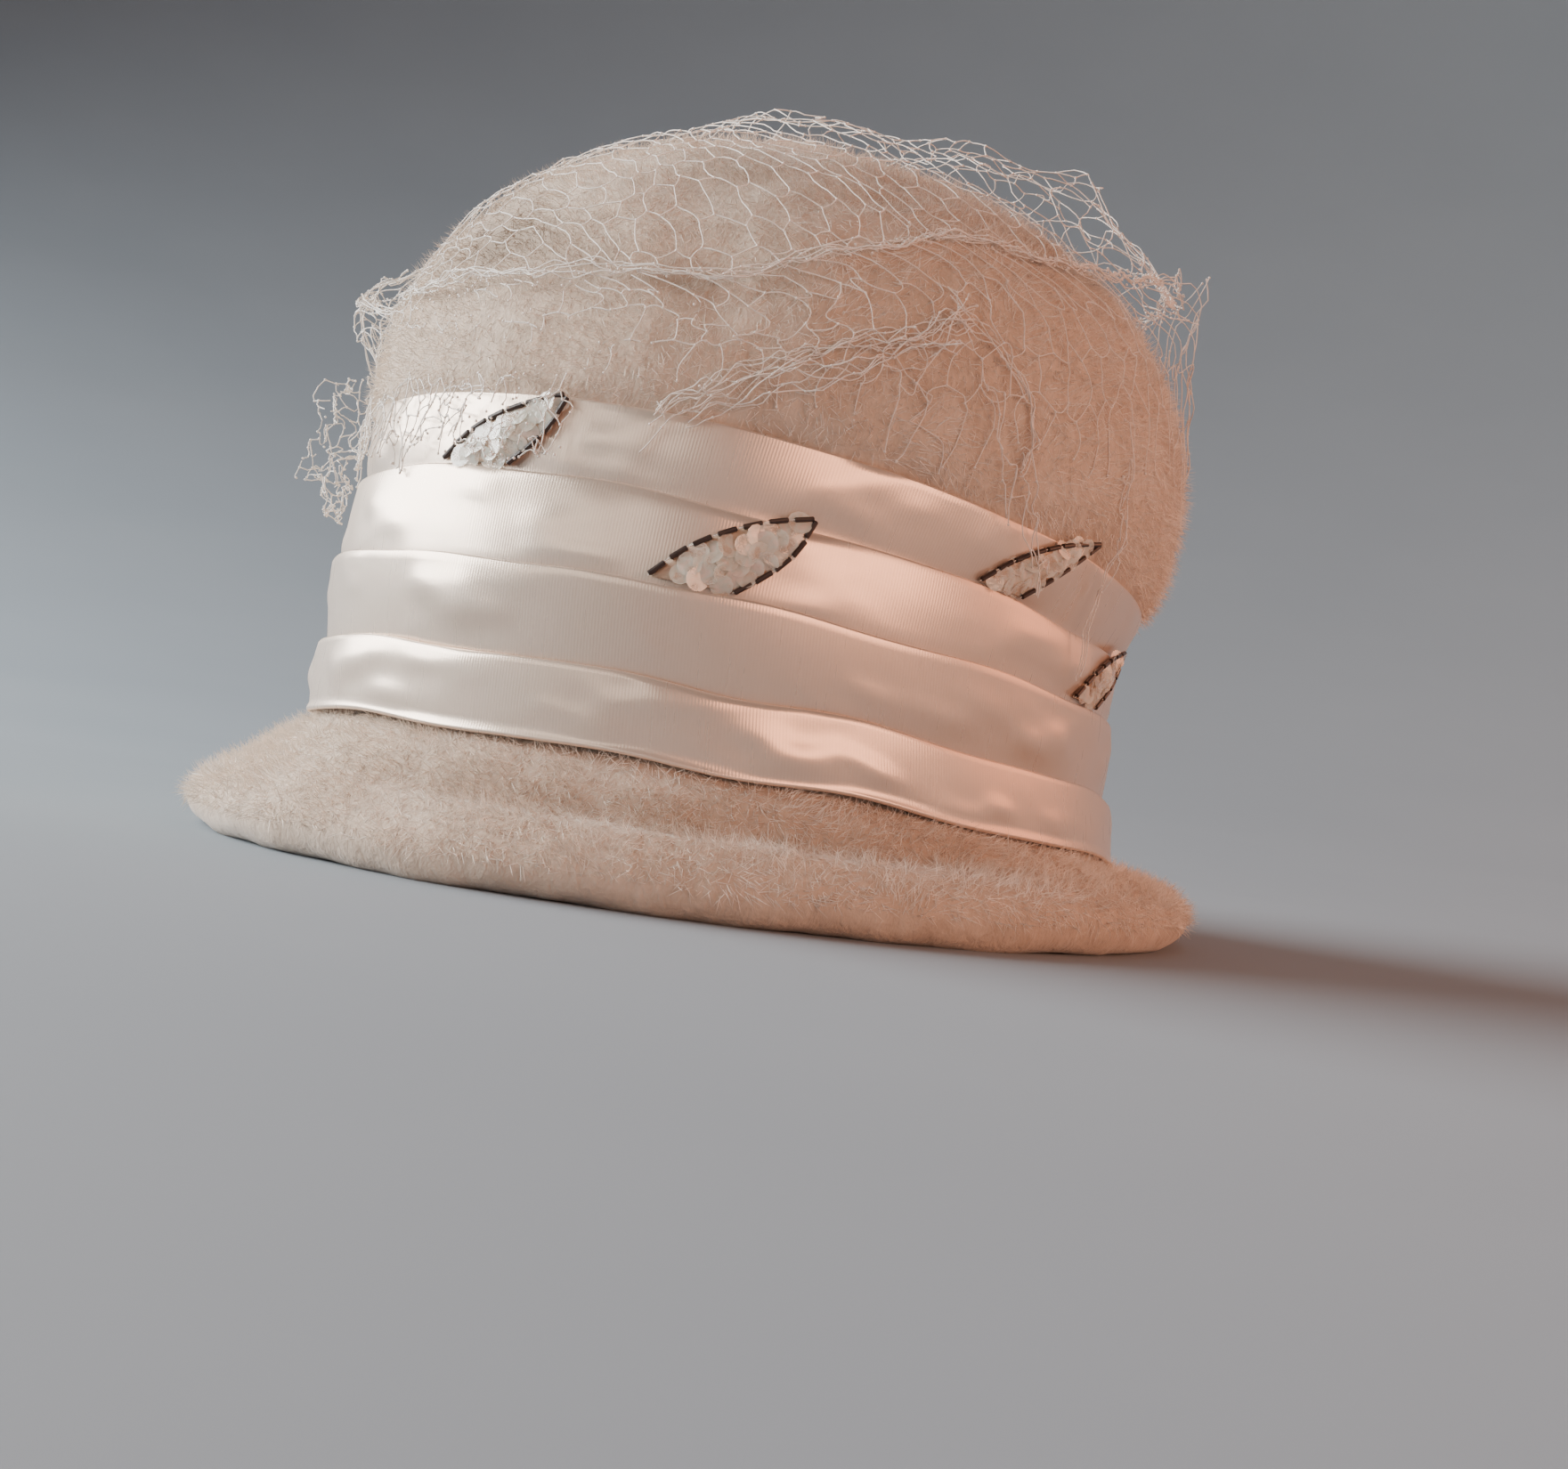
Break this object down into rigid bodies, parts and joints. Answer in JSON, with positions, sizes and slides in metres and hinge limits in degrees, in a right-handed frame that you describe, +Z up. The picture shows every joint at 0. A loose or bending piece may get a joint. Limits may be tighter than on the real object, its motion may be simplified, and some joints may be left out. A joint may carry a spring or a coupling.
{
  "type": "narrow-brim felt cloche hat with pleated satin band and net veil",
  "caption": "Narrow-brim felt cloche hat: brim edge rolled under, pleated satin band in stepped tiers, beaded leaves tucked into its folds, net veil draped over the crown.",
  "frame": {"origin": "middle of the foot of the brim, on the surface that the hat rests on", "axes": "+Z up through the crown, -Y towards the front, +X towards the wearer's left"},
  "size_m": [0.2282, 0.2446, 0.1821],
  "materials": {
    "felt": "long-haired fur felt, matt, cream beige",
    "satin": "glossy ribbed satin, pale pink cream",
    "leaf": "clear iridescent sequins on tan cloth",
    "bead": "dark brown bugle beads, glossy",
    "net": "fine stiffened net, cream"
  },
  "bodies": {
    "root": {"felt_body": "felt", "satin_band": "satin", "leaf_1": "leaf", "leaf_2": "leaf", "leaf_3": "leaf", "leaf_4": "leaf", "leaf_5": "leaf", "leaf_6": "leaf", "leaf_7": "leaf", "veil": "net"}
  },
  "joints": []
}
